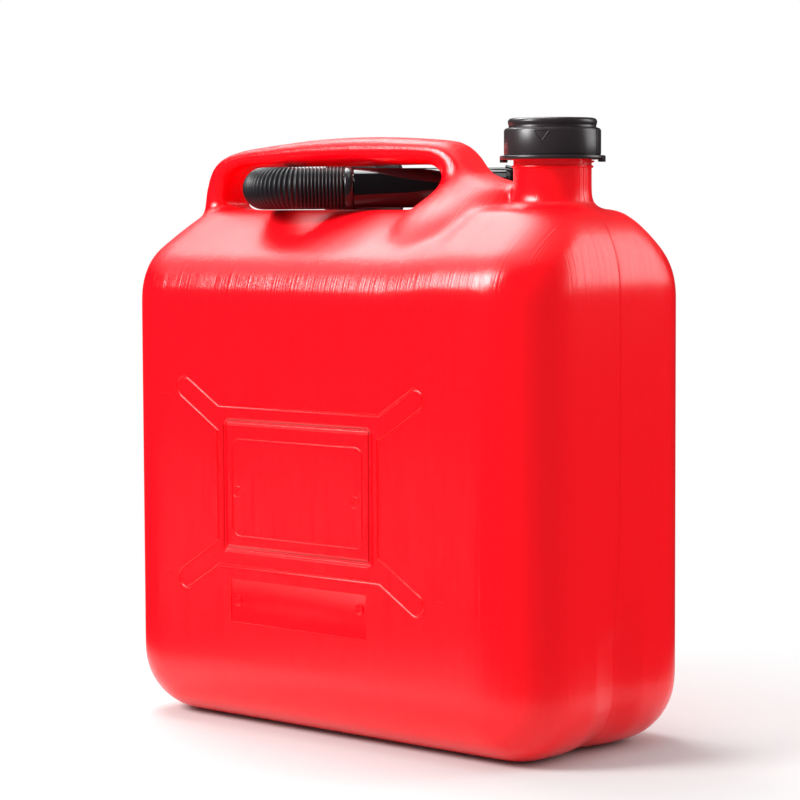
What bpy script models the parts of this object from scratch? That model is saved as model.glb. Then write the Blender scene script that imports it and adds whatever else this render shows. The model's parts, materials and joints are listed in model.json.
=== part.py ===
# Plastic jerrycan of nominally 20 litres: a hollow blow-moulded can with its handle and neck in one piece,
# a screw cap with its seal, and a flexible pouring spout that is stored through the handle.
# The origin is at the middle of the base, X runs along the can towards the neck, and -Y is the front.

import math

import bmesh
import bpy
from mathutils import Matrix, Vector

MM = 0.001

# Can body
BODY_LENGTH = 378 * MM
BODY_DEPTH = 182 * MM
CORNER_RADIUS = 46 * MM
BASE_EDGE_RADIUS = 44 * MM
RIDGE_HEIGHT = 354 * MM
SHOULDER_RISE = 38 * MM
RIDGE_HALF_WIDTH = 21 * MM
NECK_RIDGE_HALF_WIDTH = 42 * MM
EAVES_FILLET = 40 * MM
RIDGE_FILLET = 14 * MM
END_ROUND_HEIGHT = 56 * MM
NECK_END_ROUND = 28 * MM
HANDLE_END_ROUND = 17 * MM
WALL = 2.8 * MM
BASE_GROOVE_RADIUS = 7 * MM
BASE_GROOVE_DEPTH = 3 * MM
END_VALLEY_HEIGHT = 142 * MM
END_VALLEY_DEPTH = 6 * MM
END_VALLEY_HALF_WIDTH = 24 * MM

# Cross and plate pressed into the walls
CROSS_OFFSET = -12 * MM
CROSS_HEIGHT = 167 * MM
CROSS_HALF_LENGTH = 74 * MM
CROSS_HALF_HEIGHT = 54.5 * MM
CROSS_BAND_WIDTH = 7.5 * MM
CROSS_BAND_HEIGHT = 11.4 * MM
ARM_REACH = 32 * MM
ARM_RISE = 11.3 * MM
ARM_RADIUS = 7 * MM
GROOVE_RADIUS = 1.6 * MM
GROOVE_DEPTH = 0.7 * MM
PLATE_LENGTH = 125 * MM
PLATE_WIDTH = 29.5 * MM
PLATE_DROP = 78.2 * MM

# Neck
NECK_INSET = 55.5 * MM
NECK_RADIUS = 25.6 * MM
NECK_WALL = 3 * MM
NECK_HEIGHT = 54 * MM
NECK_FLARE_RADIUS = 7.5 * MM
NECK_SKIRT_DROP = 26 * MM
NECK_SKIRT_REACH = 24 * MM

# Pouring spout, as stored
SEAT_GAP = 0.3 * MM
STOW_CLEARANCE = 0.5 * MM
HOSE_RIB_RADIUS = 14.6 * MM
HOSE_VALLEY_RADIUS = 13.2 * MM
HOSE_BORE_RADIUS = 11 * MM
HOSE_RIB_PITCH = 3.1 * MM
HOSE_BEND_RADIUS = 26.5 * MM
HOSE_LEAD = 29.3 * MM
SPOUT_TURN = math.radians(42)
ROOT_SWING = 12.4 * MM
CUFF_LENGTH = 6.2 * MM
CUFF_RADIUS = 14.3 * MM
CUFF_OFFSET = 31 * MM
TUBE_RADIUS = 13.5 * MM
TUBE_WALL = 2.2 * MM
TUBE_REACH = 84 * MM
SPIGOT_LENGTH = 14 * MM
SPIGOT_WALL = 2 * MM
END_CAP_WALL = 1.5 * MM
END_CAP_DEPTH = 11 * MM
NUT_LENGTH = 27 * MM
NUT_END_WALL = 2.4 * MM
BASE_FLANGE_THICKNESS = 2.5 * MM
SPOUT_SEAL_THICKNESS = 2.4 * MM

# Handle
HANDLE_THICKNESS = 20 * MM
HANDLE_DEPTH = 35 * MM
HANDLE_CROWN_RADIUS = 800 * MM
HANDLE_CROWN_OFFSET = 78 * MM
LEG_INSET = 9.5 * MM
LEG_THICKNESS = 22.5 * MM
ROOT_TO_NECK = 86.5 * MM
ROOT_MIDDLE = 17 * MM

# Cap
THREAD_CLEARANCE = 2.8 * MM
CAP_WALL = 3 * MM
CAP_TOP_WALL = 2.7 * MM
CAP_SKIRT_HEIGHT = 20.3 * MM
CAP_LEDGE_DROP = 6.5 * MM
CAP_DISC_INSET = 2.4 * MM
CAP_FLANGE_REACH = 2.8 * MM
CAP_FLANGE_THICKNESS = 2.6 * MM
CAP_SEAL_THICKNESS = 1.8 * MM
CAP_LUG_TURN = math.radians(24.5)
CAP_LUG_WIDTH = 6 * MM
CAP_LUG_DROP = 1.6 * MM

# Facets
HOSE_SIDES = 8
ARM_END_STEPS = 6
CORNER_SEGMENTS = 8
ROUND_STEPS = 48
SECTION_POINTS = 28
BAR_SPANS = 3
ROOF_RING_STEP = 6 * MM
WALL_RING_STEP = 30 * MM

# Places worked out from the sizes above
EAVES_HEIGHT = RIDGE_HEIGHT - SHOULDER_RISE
FLOOR = RIDGE_HEIGHT
FINGER_GAP = 2 * HOSE_RIB_RADIUS + SEAT_GAP + STOW_CLEARANCE
BAR_UNDERSIDE = FLOOR + FINGER_GAP
BAR_TOP = BAR_UNDERSIDE + HANDLE_THICKNESS
NECK_X = BODY_LENGTH / 2 - NECK_INSET
NECK_RIM = FLOOR + NECK_HEIGHT
ROOT_X = NECK_X - ROOT_TO_NECK
ROOF_SLOPE = (RIDGE_HEIGHT - EAVES_HEIGHT) / (BODY_DEPTH / 2 - RIDGE_HALF_WIDTH)
SPOUT_AXIS_HEIGHT = FLOOR + SEAT_GAP + HOSE_RIB_RADIUS
NUT_BORE_RADIUS = NECK_RADIUS + THREAD_CLEARANCE
NUT_RADIUS = NUT_BORE_RADIUS + CAP_WALL
SPIGOT_RADIUS = HOSE_BORE_RADIUS * math.cos(math.pi / HOSE_SIDES) - SEAT_GAP


def clear_scene():
    for thing in list(bpy.data.objects):
        bpy.data.objects.remove(thing)


def make_collection(name):
    collection = bpy.data.collections.new(name)
    bpy.context.scene.collection.children.link(collection)
    return collection


def plastic(name, color, roughness):
    material = bpy.data.materials.new(name)
    material.use_nodes = True
    shader = material.node_tree.nodes["Principled BSDF"]
    shader.inputs["Base Color"].default_value = (*color, 1)
    shader.inputs["Roughness"].default_value = roughness
    shader.inputs["Metallic"].default_value = 0
    material.diffuse_color = (*color, 1)
    return material


def mesh_object(name, mesh, material=None):
    thing = bpy.data.objects.new(name, mesh)
    if material is None:
        cutters.objects.link(thing)
        thing.hide_render = True
        thing.display_type = "WIRE"
    else:
        parts.objects.link(thing)
        mesh.materials.append(material)
    return thing


def join_shape(thing, other, operation):
    modifier = thing.modifiers.new(other.name, "BOOLEAN")
    modifier.operation = operation
    modifier.object = other
    modifier.solver = "EXACT"


def baked(thing):
    # The evaluated mesh in world space, with loose caps welded
    bpy.context.view_layer.update()
    graph = bpy.context.evaluated_depsgraph_get()
    mesh = bpy.data.meshes.new_from_object(thing.evaluated_get(graph))
    mesh.transform(thing.matrix_world)
    bm = bmesh.new()
    bm.from_mesh(mesh)
    bmesh.ops.remove_doubles(bm, verts=bm.verts, dist=0.00001)
    bmesh.ops.recalc_face_normals(bm, faces=bm.faces)
    bm.to_mesh(mesh)
    bm.free()
    return mesh


def smooth(mesh, angle=35):
    mesh.shade_smooth()
    mesh.set_sharp_from_angle(angle=math.radians(angle))


def finish(thing):
    # Its joined shapes become one mesh that is shaded anew
    mesh = baked(thing)
    smooth(mesh)
    thing.modifiers.clear()
    thing.data = mesh


def skin(rings):
    # A closed solid through rings of equal point counts, counterclockwise seen from the last ring
    bm = bmesh.new()
    loops = [[bm.verts.new(point) for point in ring] for ring in rings]
    count = len(loops[0])
    for low, high in zip(loops, loops[1:]):
        for i in range(count):
            j = (i + 1) % count
            bm.faces.new((low[i], low[j], high[j], high[i]))
    bm.faces.new(reversed(loops[0]))
    bm.faces.new(loops[-1])
    bmesh.ops.recalc_face_normals(bm, faces=bm.faces)
    mesh = bpy.data.meshes.new("skin")
    bm.to_mesh(mesh)
    bm.free()
    return mesh


def fillet(points, radii, segments):
    # An open outline whose inner corners are rounded, as 2D vectors
    points = [Vector(p) for p in points]
    outline = [points[0]]
    for before, corner, after, radius in zip(points, points[1:], points[2:], radii):
        back = (before - corner).normalized()
        ahead = (after - corner).normalized()
        half = back.angle(ahead) / 2
        middle = corner + (back + ahead).normalized() * (radius / math.sin(half))
        start = corner + back * (radius / math.tan(half)) - middle
        turn = start.angle_signed(corner + ahead * (radius / math.tan(half)) - middle)
        for step in range(segments + 1):
            outline.append(middle + Matrix.Rotation(-turn * step / segments, 2) @ start)
    outline.append(points[-1])
    return outline


def ellipse_inset(height, start, rise, reach):
    # How far an end has rounded inwards at a height, along a quarter ellipse
    share = min(max((height - start) / rise, 0), 1)
    return reach * (1 - math.sqrt(1 - share * share))


def level_ring(left, right, half_depth, neck_half_depth, corner, height, valley):
    # One level outline of the can, which is deeper round the neck than under the handle
    ring = []

    def add_corner(x, y, radius, start):
        for step in range(CORNER_SEGMENTS + 1):
            angle = math.radians(start + 90 * step / CORNER_SEGMENTS)
            ring.append((x + radius * math.cos(angle), y + radius * math.sin(angle), height))

    def add_valley(x, inwards, reach):
        half_width = min(END_VALLEY_HALF_WIDTH, 0.8 * abs(reach))
        for share, depth in ((-1, 0), (-0.5, 0.5), (0, 1), (0.5, 0.5), (1, 0)):
            ring.append((x + inwards * valley * depth, math.copysign(half_width, reach) * share, height))

    neck_corner = min(corner, 0.85 * neck_half_depth)
    neck_flat = neck_half_depth - neck_corner
    corner = min(corner, 0.85 * half_depth)
    flat = half_depth - corner
    neck_side = NECK_X - NECK_RADIUS
    handle_side = ROOT_X + ROOT_MIDDLE
    ring.append((neck_side, -neck_half_depth, height))
    add_corner(right - neck_corner, -neck_flat, neck_corner, -90)
    add_valley(right, -1, neck_flat)
    add_corner(right - neck_corner, neck_flat, neck_corner, 0)
    ring.append((neck_side, neck_half_depth, height))
    ring.append((handle_side, half_depth, height))
    add_corner(left + corner, flat, corner, 90)
    add_valley(left, 1, -flat)
    add_corner(left + corner, -flat, corner, 180)
    ring.append((handle_side, -half_depth, height))
    return ring


def body_profile(wall, ridge_half_width):
    # Half depth and height from the rim of the base up to the ridge
    half = BODY_DEPTH / 2 - wall
    ridge = RIDGE_HEIGHT - wall
    slope = (RIDGE_HEIGHT - EAVES_HEIGHT) / (BODY_DEPTH / 2 - ridge_half_width)
    eaves = EAVES_HEIGHT - wall * (1 - slope)
    base_radius = BASE_EDGE_RADIUS - wall
    corners = fillet(
        [
            (half - base_radius - 1 * MM, wall),
            (half, wall),
            (half, eaves),
            (ridge_half_width, ridge),
            (ridge_half_width - RIDGE_FILLET, ridge),
        ],
        [base_radius, EAVES_FILLET, RIDGE_FILLET],
        CORNER_SEGMENTS,
    )[1:-1]
    profile = [corners[0]]
    for before, after in zip(corners, corners[1:]):
        longest = ROOF_RING_STEP if after.y > eaves else WALL_RING_STEP
        count = max(math.ceil((after.y - before.y) / longest), 1)
        profile += [before.lerp(after, (i + 1) / count) for i in range(count)]
    return profile


def depth_at(profile, height):
    for below, above in zip(profile, profile[1:]):
        if below.y <= height <= above.y and above.y > below.y:
            return below.x + (above.x - below.x) * (height - below.y) / (above.y - below.y)
    return profile[-1].x


def body_rings(wall):
    # Level sections of the can: straight walls on a rounded base, and a roof that falls to front and back
    half = BODY_DEPTH / 2 - wall
    end_start = RIDGE_HEIGHT - END_ROUND_HEIGHT
    neck_profile = body_profile(wall, NECK_RIDGE_HALF_WIDTH)
    rings = []
    for half_depth, height in body_profile(wall, RIDGE_HALF_WIDTH):
        in_base = height < BASE_EDGE_RADIUS
        base_inset = half - half_depth if in_base else 0
        neck_half_depth = half_depth if in_base else depth_at(neck_profile, height)
        upper = min(height + wall, RIDGE_HEIGHT)
        left = -BODY_LENGTH / 2 + wall + base_inset
        left += ellipse_inset(upper, end_start, END_ROUND_HEIGHT, HANDLE_END_ROUND)
        right = BODY_LENGTH / 2 - wall - base_inset
        right -= ellipse_inset(upper, end_start, END_ROUND_HEIGHT, NECK_END_ROUND)
        corner = CORNER_RADIUS - wall - base_inset
        if not in_base:
            corner = min(corner, CORNER_RADIUS * (0.3 + 0.7 * half_depth / half))
        share = min(max((END_VALLEY_HEIGHT - height) / (END_VALLEY_HEIGHT / 2), 0), 1)
        valley = END_VALLEY_DEPTH * share * share * (3 - 2 * share)
        rings.append(level_ring(left, right, half_depth, neck_half_depth, corner, height, valley))
    return rings


def section_ring(outer, inner, half_depth, fullness, wall):
    # A rounded section across the handle, between round and square as fullness says
    middle = (outer + inner) / 2
    spread = (outer - inner) / 2
    spread = spread * (1 - wall / spread.length)
    ring = []
    for i in range(SECTION_POINTS):
        angle = 2 * math.pi * i / SECTION_POINTS
        across = math.copysign(abs(math.cos(angle)) ** (2 / fullness), math.cos(angle))
        depthwise = math.copysign(abs(math.sin(angle)) ** (2 / fullness), math.sin(angle))
        point = middle + spread * across
        ring.append((point.x, depthwise * (half_depth - wall), point.y))
    return ring


def through(points, steps):
    # A smooth curve through hand-placed stations, as Catmull-Rom spans
    padded = [2 * points[0] - points[1], *points, 2 * points[-1] - points[-2]]
    curve = []
    for a, b, c, d in zip(padded, padded[1:], padded[2:], padded[3:]):
        for step in range(steps):
            t = step / steps
            pull = (c - a) * t + (2 * a - 5 * b + 4 * c - d) * t * t + (3 * b - a - 3 * c + d) * t ** 3
            curve.append(b + pull / 2)
    curve.append(points[-1])
    return curve


def bar_top(x):
    crown_x = ROOT_X - HANDLE_CROWN_OFFSET
    return BAR_TOP - (x - crown_x) ** 2 / (2 * HANDLE_CROWN_RADIUS)


def handle_stations():
    # Outer edge, inner edge, half depth and fullness of the sections: up the leg, along the bar, down the root
    leg_outer = -BODY_LENGTH / 2 + LEG_INSET
    leg_inner = leg_outer + LEG_THICKNESS
    half = HANDLE_DEPTH / 2
    bar = BAR_UNDERSIDE
    stations = [
        (leg_outer - 2 * MM, FLOOR - 20 * MM, leg_inner + 2 * MM, FLOOR - 20 * MM, half, 2.8),
        (leg_outer, FLOOR, leg_inner, FLOOR, half, 2.8),
        (leg_outer + 4 * MM, FLOOR + 19 * MM, leg_inner + 1 * MM, FLOOR + 14 * MM, half, 2.8),
        (leg_outer + 12 * MM, bar + 3 * MM, leg_inner + 5 * MM, bar - 6 * MM, half, 2.7),
        (leg_outer + 30 * MM, bar_top(leg_outer + 30 * MM), leg_inner + 17 * MM, bar - 0.5 * MM, half, 2.6),
    ]
    bar_start = leg_outer + 62 * MM
    for i in range(BAR_SPANS + 1):
        x = bar_start + (ROOT_X - 15 * MM - bar_start) * i / BAR_SPANS
        stations.append((x, bar_top(x), x, bar, half, 2.5))
    stations += [
        (ROOT_X + 6 * MM, bar + 14.8 * MM, ROOT_X - 6 * MM, bar - 3 * MM, half, 2.4),
        (ROOT_X + 19.5 * MM, bar + 5.5 * MM, ROOT_X, bar - 7 * MM, half, 2.3),
        (ROOT_X + 30 * MM, bar - 6 * MM, ROOT_X - 2 * MM, bar - 12.5 * MM, half + 2 * MM, 2.2),
        (ROOT_X + 60 * MM, FLOOR + 15.5 * MM, ROOT_X - 11 * MM, FLOOR + 10.5 * MM, half + 9 * MM, 2),
        (ROOT_X + 65 * MM, FLOOR + 7 * MM, ROOT_X - 20 * MM, FLOOR + 3 * MM, half + 20 * MM, 2),
        (ROOT_X + 70 * MM, FLOOR - 6 * MM, ROOT_X - 32 * MM, FLOOR - 10 * MM, half + 36 * MM, 2),
        (ROOT_X + 78 * MM, FLOOR - 27 * MM, ROOT_X - 43 * MM, FLOOR - 31 * MM, half + 54 * MM, 2),
    ]
    return [Vector(station) for station in stations]


def handle_rings(wall):
    rings = []
    for here in through(handle_stations(), 3):
        outer = Vector((here[0], here[1]))
        inner = Vector((here[2], here[3]))
        rings.append(section_ring(outer, inner, here[4], here[5], wall))
    return rings


def turned(name, profile, steps=ROUND_STEPS, closed=False):
    # A solid of revolution about Z; the profile runs down its outer side
    mesh = bpy.data.meshes.new(name)
    count = len(profile)
    edges = [(i, i + 1) for i in range(count - 1)]
    if closed:
        edges.append((count - 1, 0))
    mesh.from_pydata([(x, 0, z) for x, z in profile], edges, [])
    thing = mesh_object(name, mesh)
    screw = thing.modifiers.new("Turn", "SCREW")
    screw.steps = steps
    screw.render_steps = steps
    screw.use_merge_vertices = True
    screw.merge_threshold = 0.00001
    result = baked(thing)
    bpy.data.objects.remove(thing)
    return result


def cylinder(name, radius, start, end, steps=ROUND_STEPS):
    mesh = bpy.data.meshes.new(name)
    bm = bmesh.new()
    bmesh.ops.create_cone(
        bm, cap_ends=True, segments=steps, radius1=radius, radius2=radius, depth=(end - start).length
    )
    turn = Vector((0, 0, 1)).rotation_difference((end - start).normalized()).to_matrix().to_4x4()
    bmesh.ops.transform(bm, matrix=Matrix.Translation((start + end) / 2) @ turn, verts=bm.verts)
    bm.to_mesh(mesh)
    bm.free()
    return mesh_object(name, mesh)


def block(name, size, centre, turn=0):
    mesh = bpy.data.meshes.new(name)
    bm = bmesh.new()
    bmesh.ops.create_cube(bm, size=1)
    place = Matrix.Rotation(turn, 4, "Z") @ Matrix.Translation(centre) @ Matrix.Diagonal((*size, 1))
    bmesh.ops.transform(bm, matrix=place, verts=bm.verts)
    bm.to_mesh(mesh)
    bm.free()
    return mesh_object(name, mesh)


def neck_solid():
    foot = NECK_RADIUS + NECK_FLARE_RADIUS
    profile = [(0, NECK_RIM), (NECK_RADIUS - 0.8 * MM, NECK_RIM), (NECK_RADIUS, NECK_RIM - 0.8 * MM)]
    for step in range(7):
        angle = math.radians(90 * step / 6)
        x = foot - NECK_FLARE_RADIUS * math.cos(angle)
        profile.append((x, FLOOR + NECK_FLARE_RADIUS * (1 - math.sin(angle))))
    profile += [
        (foot + 6 * MM, FLOOR - 7 * MM),
        (NECK_RADIUS + NECK_SKIRT_REACH, FLOOR - NECK_SKIRT_DROP),
        (0, FLOOR - NECK_SKIRT_DROP),
    ]
    mesh = turned("neck_outside", profile)
    mesh.transform(Matrix.Translation((NECK_X, 0, 0)))
    return mesh_object("neck_outside", mesh)


def cross_outline():
    # Half lengths and heights from the cross's middle: a frame with a round-ended arm from each corner
    end = Vector((CROSS_HALF_LENGTH + ARM_REACH, CROSS_HALF_HEIGHT + ARM_RISE))
    tilt = math.atan2(ARM_RISE, ARM_REACH) + math.asin(ARM_RADIUS / math.hypot(ARM_REACH, ARM_RISE))
    foot = end.y - ARM_RADIUS / math.cos(tilt) - ARM_REACH * math.tan(tilt)
    quarter = [Vector((CROSS_HALF_LENGTH, foot))]
    for step in range(ARM_END_STEPS + 1):
        angle = tilt - math.pi / 2 + math.pi * step / ARM_END_STEPS
        quarter.append(end + ARM_RADIUS * Vector((math.cos(angle), math.sin(angle))))
    quarter.append(Vector((CROSS_HALF_LENGTH, CROSS_HALF_HEIGHT)))
    outline = []
    for across, upward in ((1, 1), (-1, 1), (-1, -1), (1, -1)):
        corner = quarter if across == upward else reversed(quarter)
        outline += [(point.x * across, point.y * upward) for point in corner]
    return outline


def frame_outline():
    half_length = CROSS_HALF_LENGTH - CROSS_BAND_WIDTH
    half_height = CROSS_HALF_HEIGHT - CROSS_BAND_HEIGHT
    return [(half_length, half_height), (-half_length, half_height),
            (-half_length, -half_height), (half_length, -half_height)]


def wall_grooves():
    # Round bars along the outlines, just outside both walls, as deep in the wall as a groove
    curve = bpy.data.curves.new("wall_grooves", "CURVE")
    curve.dimensions = "3D"
    curve.bevel_depth = GROOVE_RADIUS
    curve.bevel_resolution = 2
    reach = BODY_DEPTH / 2 + GROOVE_RADIUS - GROOVE_DEPTH
    for outline in (cross_outline(), frame_outline()):
        for side in (-1, 1):
            spline = curve.splines.new("POLY")
            spline.use_cyclic_u = True
            spline.points.add(len(outline) - 1)
            for place, (across, upward) in zip(spline.points, outline):
                place.co = (CROSS_OFFSET + across, side * reach, CROSS_HEIGHT + upward, 1)
    thing = mesh_object("wall_grooves", curve)
    mesh = baked(thing)
    bpy.data.objects.remove(thing)
    return mesh_object("wall_grooves", mesh)


def make_tank():
    tank = mesh_object("tank_body", skin(body_rings(0)), red_hdpe)
    handle = mesh_object("handle_outside", skin(handle_rings(0)))
    neck = neck_solid()
    bore_radius = NECK_RADIUS - NECK_WALL
    bore = cylinder(
        "neck_bore", bore_radius,
        Vector((NECK_X, 0, FLOOR - 40 * MM)), Vector((NECK_X, 0, NECK_RIM + 5 * MM)),
    )
    groove_centre = BASE_GROOVE_DEPTH - BASE_GROOVE_RADIUS
    reach = BODY_LENGTH / 2 + 5 * MM
    groove = cylinder(
        "base_groove", BASE_GROOVE_RADIUS,
        Vector((-reach, 0, groove_centre)), Vector((reach, 0, groove_centre)), 16,
    )
    groove_wall = cylinder(
        "base_groove_wall", BASE_GROOVE_RADIUS + WALL,
        Vector((-reach, 0, groove_centre)), Vector((reach, 0, groove_centre)), 16,
    )
    inside = mesh_object("inside", skin(body_rings(WALL)))
    join_shape(inside, groove_wall, "DIFFERENCE")
    join_shape(inside, mesh_object("handle_inside", skin(handle_rings(WALL))), "UNION")
    join_shape(inside, bore, "UNION")
    for piece in (handle, neck):
        join_shape(tank, piece, "UNION")
    plate = block(
        "plate_recess", (PLATE_LENGTH, 2 * GROOVE_DEPTH, PLATE_WIDTH),
        (CROSS_OFFSET, -BODY_DEPTH / 2, CROSS_HEIGHT - PLATE_DROP),
    )
    for piece in (groove, wall_grooves(), plate, inside):
        join_shape(tank, piece, "DIFFERENCE")
    finish(tank)
    return tank


def make_cap():
    inner = NECK_RADIUS + THREAD_CLEARANCE
    outer = inner + CAP_WALL
    under = NECK_RIM + CAP_SEAL_THICKNESS + 2 * SEAT_GAP
    top = under + CAP_TOP_WALL
    ledge = top - CAP_LEDGE_DROP
    bottom = ledge - CAP_SKIRT_HEIGHT
    disc = outer - CAP_DISC_INSET
    flange = outer + CAP_FLANGE_REACH
    profile = [
        (0, top),
        (disc - 2.4 * MM, top),
        (disc - 0.7 * MM, top - 0.7 * MM),
        (disc, top - 2.4 * MM),
        (disc - 0.2 * MM, top - 4 * MM),
        (disc - 1 * MM, ledge + 0.6 * MM),
        (outer - 0.6 * MM, ledge - 0.4 * MM),
        (outer, ledge - 1.2 * MM),
        (outer, bottom + CAP_FLANGE_THICKNESS),
        (flange, bottom + CAP_FLANGE_THICKNESS - 0.3 * MM),
        (flange, bottom),
        (inner, bottom),
        (inner, under),
        (0, under),
    ]
    mesh = turned("cap", profile)
    place = Matrix.Translation((NECK_X, 0, 0)) @ Matrix.Rotation(CAP_LUG_TURN, 4, "Z")
    mesh.transform(place)
    cap = mesh_object("cap", mesh, black_pp)
    lug_depth = CAP_FLANGE_REACH + 1.2 * MM
    lug_height = CAP_FLANGE_THICKNESS + CAP_LUG_DROP
    for side in (0, 1):
        lug = block(
            f"cap_lug_{side}", (lug_depth, CAP_LUG_WIDTH, lug_height),
            (flange + 0.4 * MM - lug_depth / 2, 0, bottom + CAP_FLANGE_THICKNESS - 0.2 * MM - lug_height / 2),
            math.pi * side,
        )
        lug.data.transform(place)
        join_shape(cap, lug, "UNION")
    smooth(cap.data)


def make_cap_seal():
    low = NECK_RIM + SEAT_GAP
    high = low + CAP_SEAL_THICKNESS
    radius = NECK_RADIUS + THREAD_CLEARANCE - SEAT_GAP
    mesh = turned("cap_seal", [(0, high), (radius, high), (radius, low), (0, low)])
    mesh.transform(Matrix.Translation((NECK_X, 0, 0)))
    smooth(mesh)
    mesh_object("cap_seal", mesh, white_foam)


def spout_frame():
    # Where the stored spout crosses the handle, and the directions of its tube and of its nut
    aside = (HANDLE_DEPTH / 2 + ROOT_SWING + TUBE_RADIUS) / math.sin(SPOUT_TURN)
    crossing = Vector((ROOT_X + ROOT_MIDDLE - aside, 0, SPOUT_AXIS_HEIGHT))
    along = Vector((math.cos(SPOUT_TURN), math.sin(SPOUT_TURN), 0))
    return crossing, along


def nut_start():
    # The nut's rim rests on the back of the roof
    drop = RIDGE_HEIGHT - (SPOUT_AXIS_HEIGHT - NUT_RADIUS) + SEAT_GAP
    return RIDGE_HALF_WIDTH + drop / ROOF_SLOPE


def hose_route(step):
    # Straight out of the cuff, round to the back, and straight through the handle to the nut
    crossing, along = spout_frame()
    start = crossing - along * (CUFF_OFFSET + CUFF_LENGTH + SEAT_GAP)
    bend_start = start - along * HOSE_LEAD
    to_centre = Vector((-along.y, along.x, 0))
    centre = bend_start + to_centre * HOSE_BEND_RADIUS
    turn = math.pi / 2 + SPOUT_TURN
    bend_end = centre + Vector((-HOSE_BEND_RADIUS, 0, 0))
    end = Vector((bend_end.x, nut_start() + NUT_END_WALL, SPOUT_AXIS_HEIGHT))
    lead = (bend_start - start).length
    arc = HOSE_BEND_RADIUS * turn
    total = lead + arc + (end - bend_end).length
    count = max(round(total / step), 4)
    points = []
    for i in range(count + 1):
        run = total * i / count
        if run < lead:
            points.append(start - along * run)
        elif run < lead + arc:
            angle = (run - lead) / HOSE_BEND_RADIUS
            points.append(centre + Matrix.Rotation(-angle, 3, "Z") @ (bend_start - centre))
        else:
            points.append(bend_end + Vector((0, run - lead - arc, 0)))
    return points


def tube_curve(name, points, radii):
    curve = bpy.data.curves.new(name, "CURVE")
    curve.dimensions = "3D"
    curve.bevel_depth = 1 * MM
    curve.bevel_resolution = HOSE_SIDES // 2 - 2
    curve.use_fill_caps = True
    spline = curve.splines.new("POLY")
    spline.points.add(len(points) - 1)
    for place, point, radius in zip(spline.points, points, radii):
        place.co = (*point, 1)
        place.radius = radius / MM
    thing = mesh_object(name, curve)
    mesh = baked(thing)
    bpy.data.objects.remove(thing)
    return mesh


def make_hose():
    points = hose_route(HOSE_RIB_PITCH / 2)
    radii = [HOSE_RIB_RADIUS if i % 2 else HOSE_VALLEY_RADIUS for i in range(len(points))]
    hose = mesh_object("spout_hose", tube_curve("hose_outside", points, radii), black_pe)
    route = hose_route(2 * HOSE_RIB_PITCH)
    first = route[0] + (route[0] - route[1]).normalized() * 2 * MM
    last = route[-1] + (route[-1] - route[-2]).normalized() * 2 * MM
    route = [first, *route, last]
    bore = mesh_object("hose_bore", tube_curve("hose_bore", route, [HOSE_BORE_RADIUS] * len(route)))
    join_shape(hose, bore, "DIFFERENCE")
    smooth(hose.data, 25)


def along_tube(mesh):
    # Turns a shape made about Z to lie along the spout's tube, from where it crosses the handle
    crossing, along = spout_frame()
    turn = Vector((0, 0, 1)).rotation_difference(along).to_matrix().to_4x4()
    mesh.transform(Matrix.Translation(crossing) @ turn)


def make_tube():
    shoulder = -CUFF_OFFSET + SEAT_GAP
    spigot = SPIGOT_RADIUS
    bore = TUBE_RADIUS - TUBE_WALL
    spigot_bore = spigot - SPIGOT_WALL
    spigot_end = -CUFF_OFFSET - CUFF_LENGTH - SPIGOT_LENGTH
    profile = [
        (TUBE_RADIUS - 0.5 * MM, TUBE_REACH),
        (TUBE_RADIUS, TUBE_REACH - 0.5 * MM),
        (TUBE_RADIUS, shoulder + 0.6 * MM),
        (TUBE_RADIUS - 0.6 * MM, shoulder),
        (spigot, shoulder),
        (spigot, spigot_end),
        (spigot_bore, spigot_end),
        (spigot_bore, shoulder),
        (bore, shoulder + TUBE_WALL),
        (bore, TUBE_REACH),
    ]
    mesh = turned("spout_tube", profile, 32, True)
    along_tube(mesh)
    smooth(mesh)
    mesh_object("spout_tube", mesh, black_gloss)


def make_cuff():
    outer = CUFF_RADIUS
    inner = HOSE_BORE_RADIUS
    high = -CUFF_OFFSET
    low = high - CUFF_LENGTH
    profile = [
        (outer - 0.8 * MM, high), (outer, high - 0.8 * MM), (outer, low + 0.8 * MM),
        (outer - 0.8 * MM, low), (inner, low), (inner, high),
    ]
    mesh = turned("spout_cuff", profile, 32, True)
    along_tube(mesh)
    smooth(mesh)
    mesh_object("spout_cuff", mesh, black_gloss)


def make_end_cap():
    inner = TUBE_RADIUS + SEAT_GAP
    outer = inner + END_CAP_WALL
    under = TUBE_REACH + SEAT_GAP
    top = under + END_CAP_WALL
    bottom = TUBE_REACH - END_CAP_DEPTH
    profile = [
        (0, top), (outer - 1 * MM, top), (outer, top - 1 * MM), (outer, bottom + 1.6 * MM),
        (outer + 0.5 * MM, bottom + 1.2 * MM), (outer + 0.5 * MM, bottom), (inner, bottom), (inner, under),
        (0, under),
    ]
    mesh = turned("spout_end_cap", profile, 32)
    along_tube(mesh)
    smooth(mesh)
    mesh_object("spout_end_cap", mesh, black_pe)


def along_nut(mesh):
    # Turns a shape made about Z to lie along +Y on the axis of the spout's nut
    axis_x = hose_route(HOSE_RIB_PITCH)[-1].x
    turn = Matrix.Rotation(-math.pi / 2, 4, "X")
    mesh.transform(Matrix.Translation((axis_x, nut_start(), SPOUT_AXIS_HEIGHT)) @ turn)


def make_nut():
    hole = HOSE_RIB_RADIUS + 2 * SEAT_GAP
    profile = [
        (NUT_RADIUS - 0.6 * MM, NUT_LENGTH), (NUT_RADIUS, NUT_LENGTH - 0.6 * MM), (NUT_RADIUS, 0.8 * MM),
        (NUT_RADIUS - 0.8 * MM, 0), (hole, 0), (hole, NUT_END_WALL), (NUT_BORE_RADIUS, NUT_END_WALL),
        (NUT_BORE_RADIUS, NUT_LENGTH),
    ]
    mesh = turned("spout_nut", profile, ROUND_STEPS, True)
    along_nut(mesh)
    smooth(mesh)
    mesh_object("spout_nut", mesh, black_pp)


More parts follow.
